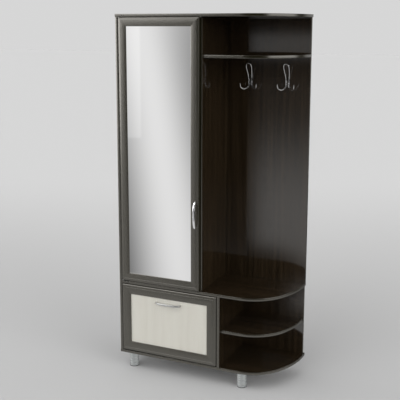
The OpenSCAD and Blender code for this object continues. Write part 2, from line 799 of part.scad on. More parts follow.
module door_handle_place() { translate([door_handle_x, front_y, door_handle_z]) children(); }
module door_handle() { color(chrome) place() door_handle_place() bow_handle(); }
module door_handle_screw_shapes(grow = 0) { door_handle_place() handle_screw_pair(frame_t, grow); }
module door_handle_screws() {
    color(zinc) place() {
        door_handle_screw_shapes();
        door_handle_place() handle_screw_heads(frame_t);
    }
}

// Flap
flap_handle_x = flap_x + flap_w / 2;
flap_handle_z = flap_z + flap_h - flap_bar_w - flap_handle_down;
module flap_stile_left() {
    color(frame_brown) place() difference() {
        bar_left(flap_x, flap_z, flap_w, flap_h, flap_bar_w);
        rack_screw_shapes(hole_clear);
    }
}
module flap_stile_right() {
    color(frame_brown) place() difference() {
        bar_right(flap_x, flap_z, flap_w, flap_h, flap_bar_w);
        rack_screw_shapes(hole_clear);
    }
}
module flap_rail_top() {
    color(frame_brown) place() bar_top(flap_x, flap_z, flap_w, flap_h, flap_bar_w);
}
module flap_rail_bottom() {
    color(frame_brown) place() bar_bottom(flap_x, flap_z, flap_w, flap_h, flap_bar_w);
}
module flap_insert() {
    in = flap_bar_w - rebate_w + sheet_gap;
    color(cream) place() difference() {
        board(flap_x + in, seat_y, flap_z + in, flap_w - 2 * in, insert_t, flap_h - 2 * in);
        flap_handle_screw_shapes(hole_clear);
    }
}
module flap_handle_place() {
    translate([flap_handle_x, seat_y, flap_handle_z]) rotate([0, 90, 0]) children();
}
module flap_handle() { color(chrome) place() flap_handle_place() bow_handle(); }
module flap_handle_screw_shapes(grow = 0) { flap_handle_place() handle_screw_pair(insert_t, grow); }
module flap_handle_screws() {
    color(zinc) place() {
        flap_handle_screw_shapes();
        flap_handle_place() handle_screw_heads(insert_t);
    }
}

// Shoe rack: side brackets that turn on the pivot pins, and two trays between them
rack_x0 = board_t + flange_t + bracket_gap;
rack_x1 = part_low_x - flange_t - bracket_gap;
tray_z = flap_z + tray_up;
tray_step = flap_h / 2 + upper_tray_up - tray_up;
tray_y = rear_y + bracket_t;
module tray_profile() {
    y1 = tray_y + tray_d;
    polygon([[tray_y, 0], [y1, tray_rise], [y1 + tray_lean, tray_wall_h],
             [y1 + tray_lean - tray_t, tray_wall_h + tray_t / 3],
             [y1 - tray_t, tray_rise + tray_t], [tray_y, tray_t]]);
}
module rack_outline() {
    y1 = tray_y + tray_d;
    y2 = y1 + tray_lean + rack_rim;
    upper_z = tray_z + tray_step;
    polygon([[rear_y, flap_z + foot_up], [tray_y + rack_web, flap_z + foot_up + rack_rim / 2],
             [y1 + rack_rim, tray_z + rack_rim], [y2, tray_z + tray_wall_h + rack_rim],
             [y1 - rack_notch, upper_z - rack_notch], [y1 + rack_rim, upper_z + rack_rim],
             [y2, upper_z + tray_wall_h - rack_notch],
             [tray_y + rack_web, upper_z + tray_wall_h - rack_notch / 2],
             [rear_y, flap_z + flap_h - foot_down]]);
}
module rack_bracket() {
    difference() {
        union() {
            rotate([90, 0, 90]) linear_extrude(bracket_t) rack_outline();
            translate([0, rear_y, flap_z + foot_up])
                cube([bracket_foot_w, bracket_t, flap_h - foot_up - foot_down]);
        }
        translate([-1, flap_pivot_y, flap_pivot_z]) rotate([0, 90, 0])
            cylinder(d = flap_pin_d + 2 * pin_clear, h = bracket_foot_w + 2);
        for (z = rack_screw_z) translate([rack_screw_in, rear_y - 1, z]) rotate([-90, 0, 0])
            cylinder(d = small_d + 2 * hole_clear, h = bracket_t + 2);
    }
}
rack_screw_in = bracket_foot_w - rack_screw_side;
rack_screw_z = [flap_z + rack_screw_up, flap_z + flap_h / 2, flap_z + flap_h - rack_screw_down];
module rack_bracket_left() { color(black) place() translate([rack_x0, 0, 0]) rack_bracket(); }
module rack_bracket_right() {
    color(black) place() translate([rack_x1, 0, 0]) mirror([1, 0, 0]) rack_bracket();
}
module shoe_tray(z) {
    color(black) place() translate([rack_x0 + bracket_t, 0, z])
        rotate([90, 0, 90]) linear_extrude(rack_x1 - rack_x0 - 2 * bracket_t) tray_profile();
}
module shoe_tray_lower() { shoe_tray(tray_z); }
module shoe_tray_upper() { shoe_tray(tray_z + tray_step); }
module rack_screw_spots() {
    for (z = rack_screw_z, x = [rack_x0 + rack_screw_in, rack_x1 - rack_screw_in])
        translate([x, rear_y + bracket_t, z]) rotate([90, 0, 0]) children();
}
module rack_screw_shapes(grow = 0) {
    rack_screw_spots() cylinder(d = small_d + 2 * grow, h = bracket_t + small_l + grow);
}
module rack_screws() {
    color(zinc) place() {
        rack_screw_shapes();
        rack_screw_spots() translate([0, 0, -small_head_t])
            cylinder(d = small_head_d, h = small_head_t);
    }
}
module flap_pin() {
    rotate([0, 90, 0]) {
        cylinder(d = flange_d, h = flange_t);
        cylinder(d = flap_pin_d, h = flange_t + bracket_gap + bracket_t + 1);
    }
}
module flap_pivot_pins() {
    color(zinc) place() {
        translate([board_t, flap_pivot_y, flap_pivot_z]) flap_pin();
        translate([part_low_x, flap_pivot_y, flap_pivot_z]) mirror([1, 0, 0]) flap_pin();
    }
}

// Coat hooks: one bent wire each, with two prongs below and a loop above. On the bracket the
// smoothed wire bows this far towards the plate, and a little more towards the bars.
hook_x = part_up_x + board_t + hook_from_side;
hook_z = hat_top - board_t - hook_drop;
wire_bow = 0.49;
bar_gap = 0.8;
wire_y = hook_plate_t + wire_d / 2 + wire_bow;
wire_x = (wire_gap + wire_d) / 2;
half_w = hook_w / 2;
half_hook = [[half_w, -prong_out, -3], [half_w - 3, -prong_out + 4, -24],
             [half_w * 0.68, -prong_out + 17, -35], [half_w * 0.38, -wire_y - 7, -30],
             [wire_x, -wire_y, -14], [wire_x, -wire_y, 0], [wire_x, -wire_y, 14],
             [wire_x + 2, -wire_y - 4, 44], [15, -loop_out * 0.6, loop_h - 36],
             [15, -loop_out * 0.85, loop_h - 12], [8, -loop_out + 1, loop_h - 2]];
hook_pts = concat(half_hook, [[0, -loop_out, loop_h]],
                  [for (i = [len(half_hook) - 1:-1:0])
                      [-half_hook[i][0], half_hook[i][1], half_hook[i][2]]]);
function between(p, i, t) =
    let (a = p[max(i - 1, 0)], b = p[i], c = p[i + 1], d = p[min(i + 2, len(p) - 1)])
    0.5 * (2 * b + (c - a) * t + (2 * a - 5 * b + 4 * c - d) * t * t + (3 * b - a - 3 * c + d) * t * t * t);
function smooth(p, n) = concat([for (i = [0:len(p) - 2], k = [0:n - 1]) between(p, i, k / n)], [p[len(p) - 1]]);
module coat_hook() {
    path = smooth(hook_pts, 3);
    skin([for (i = [0:len(path) - 1])
        let (t = tangent(path, i), u0 = cross(t, [0, 1, 0]), u = u0 / norm(u0), v = cross(t, u))
        ring(path[i], u, v, wire_d / 2, wire_d / 2, 12)]);
}
module at_hook(place_no) { translate([hook_x + place_no * hook_pitch, back_y, hook_z]) children(); }
module coat_hook_left() { color(chrome) place() at_hook(0) coat_hook(); }
module coat_hook_right() { color(chrome) place() at_hook(1) coat_hook(); }
module hook_brackets() {
    color(chrome) place() for (k = [0, 1]) at_hook(k) difference() {
        union() {
            translate([-hook_plate_w / 2, -hook_plate_t, -hook_plate_h / 2])
                cube([hook_plate_w, hook_plate_t, hook_plate_h]);
            for (side = [-1, 1])
                translate([-wire_gap / 2 + bar_gap, -hook_plate_t - wire_d + 1, side * 9 - 2])
                    cube([wire_gap - 2 * bar_gap, wire_d - 1, 4]);
        }
        translate([0, 1, 0]) rotate([90, 0, 0])
            cylinder(d = small_d + 2 * hole_clear, h = hook_plate_t + 2);
    }
}
module hook_screw_shapes(grow = 0) {
    for (k = [0, 1]) at_hook(k) translate([0, small_l + grow, 0]) rotate([90, 0, 0])
        cylinder(d = small_d + 2 * grow, h = small_l + hook_plate_t + grow);
}
module hook_screws() {
    color(chrome) place() {
        hook_screw_shapes();
        for (k = [0, 1]) at_hook(k) translate([0, -hook_plate_t, 0]) rotate([90, 0, 0])
            cylinder(d = small_head_d, h = small_head_t);
    }
}

side_panel();
partition_upper();
partition_lower();
top_board();
bench_board();
bottom_board();
bay_back();
niche_back();
wardrobe_back();
shoe_bay_back();
hat_shelf();
niche_shelf();
wardrobe_shelf();
shelf_pins();
hanging_rail();
rail_brackets();
rail_screws();
legs();
leg_plates();
leg_pads();
leg_screws();
coat_hook_left();
coat_hook_right();
hook_brackets();
hook_screws();
cabinet_screws();
dowels();
screw_caps();
back_nails();
door_pivot_plates();
pivot_screws();
flap_pivot_pins();
door_catch();
flap_catch();
door_stile_hinge();
door_stile_handle();
door_rail_top();
door_rail_bottom();
door_mirror();
door_backing();
door_handle();
door_handle_screws();
door_bushes();
door_strike();
flap_stile_left();
flap_stile_right();
flap_rail_top();
flap_rail_bottom();
flap_insert();
flap_handle();
flap_handle_screws();
rack_bracket_left();
rack_bracket_right();
shoe_tray_lower();
shoe_tray_upper();
rack_screws();
flap_strike();
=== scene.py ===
import math
import bpy
import numpy as np
from mathutils import Matrix, Vector


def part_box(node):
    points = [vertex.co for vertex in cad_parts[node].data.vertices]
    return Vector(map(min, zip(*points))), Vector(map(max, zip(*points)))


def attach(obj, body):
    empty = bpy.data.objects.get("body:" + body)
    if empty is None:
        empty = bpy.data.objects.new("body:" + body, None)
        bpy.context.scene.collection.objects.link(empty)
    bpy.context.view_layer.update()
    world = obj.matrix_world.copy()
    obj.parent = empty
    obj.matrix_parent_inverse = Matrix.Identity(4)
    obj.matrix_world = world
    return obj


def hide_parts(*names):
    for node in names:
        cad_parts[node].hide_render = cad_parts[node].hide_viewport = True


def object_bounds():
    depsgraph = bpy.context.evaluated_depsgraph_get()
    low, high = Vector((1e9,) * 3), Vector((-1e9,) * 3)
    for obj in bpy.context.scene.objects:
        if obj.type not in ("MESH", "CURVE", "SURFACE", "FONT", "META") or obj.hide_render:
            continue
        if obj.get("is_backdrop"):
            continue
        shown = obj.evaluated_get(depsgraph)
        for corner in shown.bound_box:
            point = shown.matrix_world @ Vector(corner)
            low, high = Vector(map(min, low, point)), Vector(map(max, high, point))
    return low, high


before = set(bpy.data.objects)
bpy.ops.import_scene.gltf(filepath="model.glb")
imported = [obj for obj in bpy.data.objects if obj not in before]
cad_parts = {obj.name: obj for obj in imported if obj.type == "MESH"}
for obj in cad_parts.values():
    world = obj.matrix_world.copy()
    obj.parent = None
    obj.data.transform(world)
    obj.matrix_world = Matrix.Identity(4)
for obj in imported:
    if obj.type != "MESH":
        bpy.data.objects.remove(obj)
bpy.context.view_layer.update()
print("frame loaded:", len(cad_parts), "nodes")


def corners(node):
    # lowest and highest corner of a CAD node's box
    low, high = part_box(node)
    return np.array(low), np.array(high)


# Shader expressions: a Value wraps one output socket, and its operators add Math nodes
class Value:
    def __init__(self, maker, socket):
        self.maker, self.socket = maker, socket

    def combine(self, operation, other, flipped=False):
        pair = (other, self) if flipped else (self, other)
        return self.maker.maths(operation, *pair)

    def __add__(self, other): return self.combine("ADD", other)
    def __radd__(self, other): return self.combine("ADD", other, True)
    def __sub__(self, other): return self.combine("SUBTRACT", other)
    def __rsub__(self, other): return self.combine("SUBTRACT", other, True)
    def __mul__(self, other): return self.combine("MULTIPLY", other)
    def __rmul__(self, other): return self.combine("MULTIPLY", other, True)
    def __truediv__(self, other): return self.combine("DIVIDE", other)
    def __rtruediv__(self, other): return self.combine("DIVIDE", other, True)
    def __pow__(self, other): return self.combine("POWER", other)
    def __rpow__(self, other): return self.combine("POWER", other, True)


# Adds nodes to one tree: node makes any kind, and the other methods are short ways to call it
class Maker:
    def __init__(self, tree):
        self.tree = tree
        tree.nodes.clear()

    def node(self, kind, settings=None, inputs=None, output=0):
        made = self.tree.nodes.new(kind)
        for name, setting in (settings or {}).items():
            if name == "stops":
                ramp = made.color_ramp
                for index, (place, colour) in enumerate(setting):
                    stop = ramp.elements[index] if index < 2 else ramp.elements.new(place)
                    stop.position = place
                    stop.color = (*colour, 1.0)
            else:
                setattr(made, name, setting)
        for name, value in (inputs or {}).items():
            self.feed(made.inputs[name], value)
        return Value(self, made.outputs[output]) if len(made.outputs) else None

    def feed(self, socket, value):
        if isinstance(value, Value):
            self.tree.links.new(value.socket, socket)
        elif isinstance(value, (tuple, list)) and socket.type == "RGBA":
            socket.default_value = (*value, 1.0)
        else:
            socket.default_value = value

    def maths(self, operation, *parts):
        return self.node("ShaderNodeMath", {"operation": operation}, dict(enumerate(parts)))

    def place(self, stretch=(1, 1, 1)):
        coords = self.node("ShaderNodeTexCoord", output="Object")
        return self.node("ShaderNodeMapping", {}, {"Vector": coords, "Scale": stretch})

    def noise(self, vector, scale, detail=3.0, rough=0.55):
        return self.node("ShaderNodeTexNoise", {}, {"Vector": vector, "Scale": scale,
                                                    "Detail": detail, "Roughness": rough})

    def ramp(self, factor, *stops):
        return self.node("ShaderNodeValToRGB", {"stops": stops}, {"Fac": factor})

    def mix(self, factor, first, second):
        return self.node("ShaderNodeMix", {"data_type": "RGBA"},
                         {0: factor, 6: first, 7: second}, output=2)

    def band(self, value, low, high):
        # 0 below low, 1 above high, and a smooth step between
        return self.node("ShaderNodeMapRange", {"interpolation_type": "SMOOTHSTEP"},
                         {"Value": value, "From Min": low, "From Max": high})

    def bump(self, height, strength, distance):
        return self.node("ShaderNodeBump", {},
                         {"Height": height, "Strength": strength, "Distance": distance})

    def surface(self, inputs):
        shader = self.node("ShaderNodeBsdfPrincipled", {}, inputs)
        self.node("ShaderNodeOutputMaterial", {}, {"Surface": shader})


def newMaterial(name):
    material = bpy.data.materials.new(name)
    material.use_nodes = True
    return material, Maker(material.node_tree)


def grain(along, lengthwise, crosswise):
    # noise scales for a grain that runs along one axis
    return tuple(lengthwise if axis == along else crosswise for axis in "xyz")


# Dark laminate: long thin pores and soft bands that run along the grain
wengeLook = {"dark": (0.0084, 0.0056, 0.0030), "light": (0.0266, 0.0177, 0.0096),
             "pore": (0.0042, 0.0027, 0.0015), "broad": (1.2, 50.0), "fine": (14.0, 900.0),
             "bandShare": 0.58, "tone": (0.34, 0.68), "pores": (0.60, 0.70),
             "roughness": 0.055, "poreRough": 0.06, "bandRough": 0.02, "gloss": 1.9,
             "poreStrength": 0.35, "poreDepth": 0.00002}


def wenge(name, along):
    look = wengeLook
    material, make = newMaterial(name)
    bands = make.noise(make.place(grain(along, *look["broad"])), 1.0, detail=3.0, rough=0.6)
    lines = make.noise(make.place(grain(along, *look["fine"])), 1.0, detail=2.0, rough=0.5)
    pores = make.band(lines, *look["pores"])
    streaks = bands * look["bandShare"] + lines * (1 - look["bandShare"])
    tone = make.mix(make.band(streaks, *look["tone"]), look["dark"], look["light"])
    rough = look["roughness"] + pores * look["poreRough"] + bands * look["bandRough"]
    make.surface({"Base Color": make.mix(pores, tone, look["pore"]), "Roughness": rough,
                  "IOR": look["gloss"],
                  "Normal": make.bump(1.0 - pores, look["poreStrength"], look["poreDepth"])})
    return material


# Grey-brown foil of the frames and the boards' edges: satin, with a fine brushed grain
foilLook = {"deep": (0.0062, 0.0052, 0.0012), "pale": (0.0125, 0.0106, 0.0040),
            "lines": (10.0, 620.0), "cloud": 9.0, "lineShare": 0.7, "tone": (0.34, 0.68),
            "roughness": 0.19, "lineRough": 0.06, "gloss": 2.14, "tint": (1.0, 0.965, 0.90),
            "grainStrength": 0.12, "grainDepth": 0.00004}


def foil(name, along):
    look = foilLook
    material, make = newMaterial(name)
    lines = make.noise(make.place(grain(along, *look["lines"])), 1.0, detail=3.0, rough=0.6)
    cloud = make.noise(make.place(), look["cloud"], detail=2.0)
    streaks = lines * look["lineShare"] + cloud * (1 - look["lineShare"])
    make.surface({"Base Color": make.mix(make.band(streaks, *look["tone"]),
                                         look["deep"], look["pale"]),
                  "Roughness": look["roughness"] + lines * look["lineRough"],
                  "IOR": look["gloss"], "Specular Tint": look["tint"],
                  "Normal": make.bump(lines, look["grainStrength"], look["grainDepth"])})
    return material


# Pale insert: upright cream streaks, thin lines over soft bands
creamLook = {"bands": (26.0, 26.0, 1.6), "lines": (520.0, 520.0, 9.0), "bandShare": 0.7,
             "tones": ((0.3, (0.476, 0.459, 0.407)), (0.5, (0.512, 0.498, 0.446)),
                       (0.72, (0.533, 0.522, 0.474))),
             "roughness": 0.42, "lineRough": 0.1, "grainStrength": 0.15, "grainDepth": 0.00005}


def creamWood(name):
    look = creamLook
    material, make = newMaterial(name)
    bands = make.noise(make.place(look["bands"]), 1.0, detail=4.0, rough=0.6)
    lines = make.noise(make.place(look["lines"]), 1.0, detail=2.0)
    streaks = bands * look["bandShare"] + lines * (1 - look["bandShare"])
    make.surface({"Base Color": make.ramp(streaks, *look["tones"]),
                  "Roughness": look["roughness"] + lines * look["lineRough"],
                  "Normal": make.bump(lines, look["grainStrength"], look["grainDepth"])})
    return material


# Mirror: almost clean, with a faint haze
mirrorLook = {"tint": (0.94, 0.937, 0.935), "roughness": 0.012, "haze": 0.012, "hazeScale": 3.0}


def mirrorGlass(name):
    look = mirrorLook
    material, make = newMaterial(name)
    haze = make.noise(make.place(), look["hazeScale"], detail=2.0)
    make.surface({"Base Color": look["tint"], "Metallic": 1.0,
                  "Roughness": look["roughness"] + haze * look["haze"]})
    return material


# Metals: polished ones have faint smudges, brushed ones fine darker lines
metalLook = {"smudgeScale": 120.0, "smudge": 0.05, "darker": 0.82, "lines": (0.3, 0.7),
             "lineRough": 0.18, "lineStrength": 0.1, "lineDepth": 0.00003}


def polished(name, tint, rough):
    material, make = newMaterial(name)
    smudge = make.noise(make.place(), metalLook["smudgeScale"], detail=4.0)
    make.surface({"Base Color": tint, "Metallic": 1.0,
                  "Roughness": rough + smudge * metalLook["smudge"]})
    return material


def brushed(name, tint, stretch, rough):
    look = metalLook
    material, make = newMaterial(name)
    lines = make.noise(make.place(stretch), 1.0, detail=3.0, rough=0.6)
    darker = tuple(part * look["darker"] for part in tint)
    make.surface({"Base Color": make.mix(make.band(lines, *look["lines"]), darker, tint),
                  "Metallic": 1.0, "Roughness": rough + lines * look["lineRough"],
                  "Normal": make.bump(lines, look["lineStrength"], look["lineDepth"])})
    return material


# Dark plastic: a fine even grain and slightly paler clouds
plasticLook = {"tint": (0.012, 0.012, 0.012), "paler": (0.022, 0.022, 0.022), "cloud": 30.0,
               "cloudShare": 0.5, "grain": 900.0, "roughness": 0.5, "grainRough": 0.15,
               "grainStrength": 0.25, "grainDepth": 0.00008}


def plastic(name):
    look = plasticLook
    material, make = newMaterial(name)
    grainy = make.noise(make.place(), look["grain"], detail=2.0)
    cloud = make.noise(make.place(), look["cloud"], detail=2.0)
    make.surface({"Base Color": make.mix(cloud * look["cloudShare"], look["tint"], look["paler"]),
                  "Roughness": look["roughness"] + grainy * look["grainRough"],
                  "Normal": make.bump(grainy, look["grainStrength"], look["grainDepth"])})
    return material


# Back sheets of pressed fibre: brown flecks over soft clouds
fibreLook = {"flecks": (420.0, 420.0, 160.0), "cloud": 7.0, "fleckShare": 0.6,
             "tones": ((0.3, (0.075, 0.045, 0.026)), (0.55, (0.125, 0.078, 0.047)),
                       (0.75, (0.17, 0.112, 0.07))),
             "roughness": 0.7, "fleckRough": 0.2, "fleckStrength": 0.3, "fleckDepth": 0.0001}


def pressedFibre(name):
    look = fibreLook
    material, make = newMaterial(name)
    flecks = make.noise(make.place(look["flecks"]), 1.0, detail=4.0, rough=0.7)
    cloud = make.noise(make.place(), look["cloud"], detail=3.0)
    mottle = flecks * look["fleckShare"] + cloud * (1 - look["fleckShare"])
    make.surface({"Base Color": make.ramp(mottle, *look["tones"]),
                  "Roughness": look["roughness"] + flecks * look["fleckRough"],
                  "Normal": make.bump(flecks, look["fleckStrength"], look["fleckDepth"])})
    return material


# Beech dowels: pale, with fine lines
beechLook = {"lines": (500.0, 500.0, 20.0), "dark": (0.42, 0.26, 0.13), "light": (0.58, 0.40, 0.22),
             "roughness": 0.6}


def paleWood(name):
    look = beechLook
    material, make = newMaterial(name)
    lines = make.noise(make.place(look["lines"]), 1.0, detail=3.0)
    make.surface({"Base Color": make.mix(lines, look["dark"], look["light"]),
                  "Roughness": look["roughness"]})
    return material


finishes = {
    "uprightBoard": wenge("uprightBoard", "z"),
    "levelBoard": wenge("levelBoard", "x"),
    "edgeLevel": foil("edgeLevel", "x"),
    "edgeUpright": foil("edgeUpright", "z"),
    "foilUpright": foil("foilUpright", "z"),
    "foilLevel": foil("foilLevel", "x"),
    "cream": creamWood("creamInsert"),
    "mirror": mirrorGlass("mirrorGlass"),
    "chrome": polished("chrome", (0.86, 0.86, 0.87), 0.06),
    "satin": polished("satinNickel", (0.52, 0.52, 0.51), 0.36),
    "darkSteel": polished("darkSteel", (0.09, 0.085, 0.08), 0.35),
    "leg": brushed("legAluminium", (0.56, 0.583, 0.578), (30.0, 30.0, 700.0), 0.2),
    "zinc": brushed("zincSteel", (0.62, 0.62, 0.60), (300.0, 300.0, 300.0), 0.35),
    "black": plastic("blackPlastic"),
    "fibre": pressedFibre("backSheet"),
    "beech": paleWood("beech"),
}
print("finishes:", len(finishes))


def meshPiece(name, points, faces, body, finish, stands, crease, marks=None, flat=0):
    # points holds places, and faces is a list of arrays of point numbers. marks gives each face
    # its material. Edges sharper than crease, in degrees, stay sharp, and the last faces, as
    # many as flat says, keep their own plain normals. The piece stands for the nodes in stands.
    mesh = bpy.data.meshes.new(name)
    rows = [list(map(int, face)) for block in faces for face in block]
    mesh.from_pydata(np.asarray(points, dtype=float).tolist(), [], rows)
    for key in finish:
        mesh.materials.append(finishes[key])
    if marks is not None:
        mesh.polygons.foreach_set("material_index", np.asarray(marks, dtype=np.int32))
    mesh.set_sharp_from_angle(angle=math.radians(crease))
    mesh.polygons.foreach_set("use_smooth", np.arange(len(rows)) < len(rows) - flat)
    mesh.validate()
    mesh.update()
    piece = bpy.data.objects.new(name, mesh)
    bpy.context.scene.collection.objects.link(piece)
    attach(piece, body)
    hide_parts(*stands)


def gridFaces(rows, columns, flip=False):
    # quads between neighbouring rows; each row is a closed ring of points
    row, column = np.meshgrid(np.arange(rows - 1), np.arange(columns), indexing="ij")
    a = row * columns + column
    b = row * columns + (column + 1) % columns
    quads = np.stack([a, b, b + columns, a + columns], axis=-1).reshape(-1, 4)
    return quads[:, ::-1] if flip else quads


def closedRings(rows, columns, flip=False):
    # the walls between the rings, then one face over the first ring and one over the last
    first = np.arange(columns)[::-1].reshape(1, -1)
    last = (np.arange(columns) + (rows - 1) * columns).reshape(1, -1)
    caps = [first[:, ::-1], last[:, ::-1]] if flip else [first, last]
    return [gridFaces(rows, columns, flip), *caps]


# A board: its outline in two axes, carried through its thickness with rounded edges.
# Each ring is the outline moved inwards by r(1 - cos a), at a height of r(1 - sin a) from a face.
boardValues = {"round": 0.0009, "steps": 3, "crease": 34.0}


def slabPoints(outline, low, high, normalAxis):
    outline = np.asarray(outline, dtype=float)
    ahead = np.roll(outline, -1, axis=0) - outline
    ahead /= np.linalg.norm(ahead, axis=1, keepdims=True)
    side = np.stack([ahead[:, 1], -ahead[:, 0]], axis=1)
    before = np.roll(side, 1, axis=0)
    mitre = (side + before) / (1.0 + np.sum(side * before, axis=1, keepdims=True))
    r = boardValues["round"]
    angle = np.linspace(-np.pi / 2, 0, boardValues["steps"] + 1)
    inset = np.concatenate([r * (1 - np.cos(angle)), r * (1 - np.cos(angle[::-1]))])
    height = np.concatenate([low + r * (1 + np.sin(angle)),
                             high - r * (1 + np.sin(angle[::-1]))])
    flat = outline[None] - mitre[None] * inset[:, None, None]
    level = np.broadcast_to(height[:, None, None], (*flat.shape[:2], 1))
    order = {"z": [0, 1, 2], "x": [2, 0, 1], "y": [1, 2, 0]}[normalAxis]
    return np.concatenate([flat, level], axis=2)[:, :, order], len(outline), len(inset)


def board(node, outline, low, high, normalAxis, faceFinish, edgeFinish):
    points, columns, rows = slabPoints(outline, low, high, normalAxis)
    faces = closedRings(rows, columns)
    marks = np.concatenate([np.ones(len(faces[0])), [0, 0]])
    meshPiece(node + ".board", points.reshape(-1, 3), faces, "cabinet",
              [faceFinish, edgeFinish], [node], boardValues["crease"], marks, flat=2)


# The open boards' outline: straight front, a tight arc from curveStart on, then a wider arc that
# is tangent to the first and ends square to the bay's back. With the run a and depth b of the
# curve and the tight radius r, the wide radius is (a^2 + b^2 - 2 b r) / (2 (a - r)).
curveValues = {"length": 0.289, "radius": 0.25, "pointsPerArc": 26, "leastTail": 0.0001}


def curvedOutline(left, front, right, back, start):
    end = corners("bay_back")[0][1]
    a, b, r = right - start, end - front, curveValues["radius"]
    wide = (a * a + b * b - 2 * b * r) / (2 * (a - r))
    turn = math.atan2(b - r, -a + wide)
    count = curveValues["pointsPerArc"]
    first = np.radians(np.linspace(-90, -math.degrees(turn), count))
    second = np.linspace(-turn, 0, count)[1:]
    tight = np.stack([start + r * np.cos(first), front + r + r * np.sin(first)], axis=1)
    loose = np.stack([right - wide + wide * np.cos(second), end + wide * np.sin(second)], axis=1)
    tail = [[left, back]]
    if back - end > curveValues["leastTail"]:
        tail = [[right, back], *tail]
    return np.concatenate([[[left, front]], tight, loose, tail])


curveStart = corners("top_board")[1][0] - curveValues["length"]
for node in ("top_board", "bottom_board", "bench_board", "hat_shelf", "niche_shelf"):
    low, high = corners(node)
    outline = curvedOutline(low[0], low[1], high[0], high[1], curveStart)
    board(node, outline, low[2], high[2], "z", "levelBoard", "edgeLevel")

straightBoards = {"side_panel": "x", "partition_upper": "x", "partition_lower": "x",
                  "bay_back": "y", "niche_back": "y", "wardrobe_shelf": "z"}
for node, axis in straightBoards.items():
    low, high = corners(node)
    u, v = {"x": (1, 2), "y": (2, 0), "z": (0, 1)}[axis]
    w = "xyz".index(axis)
    outline = [[low[u], low[v]], [high[u], low[v]], [high[u], high[v]], [low[u], high[v]]]
    faceFinish = "levelBoard" if axis == "z" else "uprightBoard"
    board(node, outline, low[w], high[w], axis, faceFinish, "edgeUpright")
print("boards made")


# A moulded frame bar: its profile (distance from the outer edge, depth) is carried between two
# mitres, so a profile point at distance u starts at u and ends at length - u. The face is crowned,
# crown ((u - width/2) / (width/2))^2 deep, with a round-bottomed groove, a rounding at both
# edges and a rebate behind. The outer rounding may differ between the two ends.
mouldValues = {"round": 0.002, "softRound": 0.0055, "inner": 0.0015, "crown": 0.0012,
               "groove": 0.018, "grooveWidth": 0.0018, "grooveDepth": 0.0005,
               "seat": 0.0055, "rebate": 0.009, "thickness": 0.020, "guard": 0.0004,
               "outerGap": 0.003, "innerGap": 0.002, "arcSteps": 9, "outerSteps": 5,
               "innerSteps": 9, "crease": 28.0}


def mouldProfile(width, r):
    m = mouldValues
    inner, guard, halfGroove = m["inner"], m["guard"], m["grooveWidth"] / 2
    arc = np.linspace(0, np.pi / 2, m["arcSteps"])
    outerArc = np.stack([r * (1 - np.cos(arc)), m["crown"] + r * (1 - np.sin(arc))], axis=1)
    g = np.linspace(-1, 1, m["arcSteps"]) * halfGroove + m["groove"]
    outerFace = np.linspace(r + m["outerGap"], g[0] - guard, m["outerSteps"])
    innerFace = np.linspace(g[-1] + guard, width - inner - m["innerGap"], m["innerSteps"])
    u = np.concatenate([[r + guard], outerFace, g, innerFace, [width - inner - guard]])
    sink = np.maximum(0, 1 - ((u - m["groove"]) / halfGroove) ** 2) * m["grooveDepth"]
    bulge = m["crown"] * ((u - width / 2) / (width / 2)) ** 2
    face = np.stack([u, bulge + sink], axis=1)
    innerArc = np.stack([width - inner * (1 - np.cos(arc[::-1])),
                         m["crown"] + inner * (1 - np.sin(arc[::-1]))], axis=1)
    back = [[width, m["seat"]], [width - m["rebate"], m["seat"]],
            [width - m["rebate"], m["thickness"]], [0, m["thickness"]]]
    return np.concatenate([outerArc, face, innerArc, back])


def cornerRound(body, across, up):
    # the left corners are soft, and so is the flap's whole top edge
    soft = across == "left" or (body == "flap" and up == "top")
    return mouldValues["softRound" if soft else "round"]


def frameBar(node, width, side, whole, body, finish):
    # side names the edge of the whole frame that the bar lies along
    low, high = whole
    along = 0 if side in ("top", "bottom") else 2
    if along == 0:
        edges = [cornerRound(body, across, side) for across in ("left", "right")]
    else:
        edges = [cornerRound(body, side, up) for up in ("bottom", "top")]
    profiles = np.stack([mouldProfile(width, r) for r in edges])
    u, depth = profiles[:, :, 0], low[1] + profiles[:, :, 1]
    points = np.empty((*u.shape, 3))
    points[:, :, along] = np.stack([low[along] + u[0], high[along] - u[1]])
    points[:, :, 1] = depth
    points[:, :, 2 - along] = {"left": low[0] + u, "right": high[0] - u,
                               "bottom": low[2] + u, "top": high[2] - u}[side]
    faces = closedRings(2, u.shape[1], flip=side in ("left", "top"))
    meshPiece(node + ".bar", points.reshape(-1, 3), faces, body, [finish], [node],
              mouldValues["crease"], flat=2)


frameNodes = {
    "door": {"left": "door_stile_hinge", "right": "door_stile_handle", "top": "door_rail_top",
             "bottom": "door_rail_bottom"},
    "flap": {"left": "flap_stile_left", "right": "flap_stile_right", "top": "flap_rail_top",
             "bottom": "flap_rail_bottom"}}
for body, nodes in frameNodes.items():
    boxes = [corners(node) for node in nodes.values()]
    whole = np.min([box[0] for box in boxes], axis=0), np.max([box[1] for box in boxes], axis=0)
    left = corners(nodes["left"])
    width = left[1][0] - left[0][0]
    for side, node in nodes.items():
        finish = "foilUpright" if side in ("left", "right") else "foilLevel"
        frameBar(node, width, side, whole, body, finish)
print("frames made")


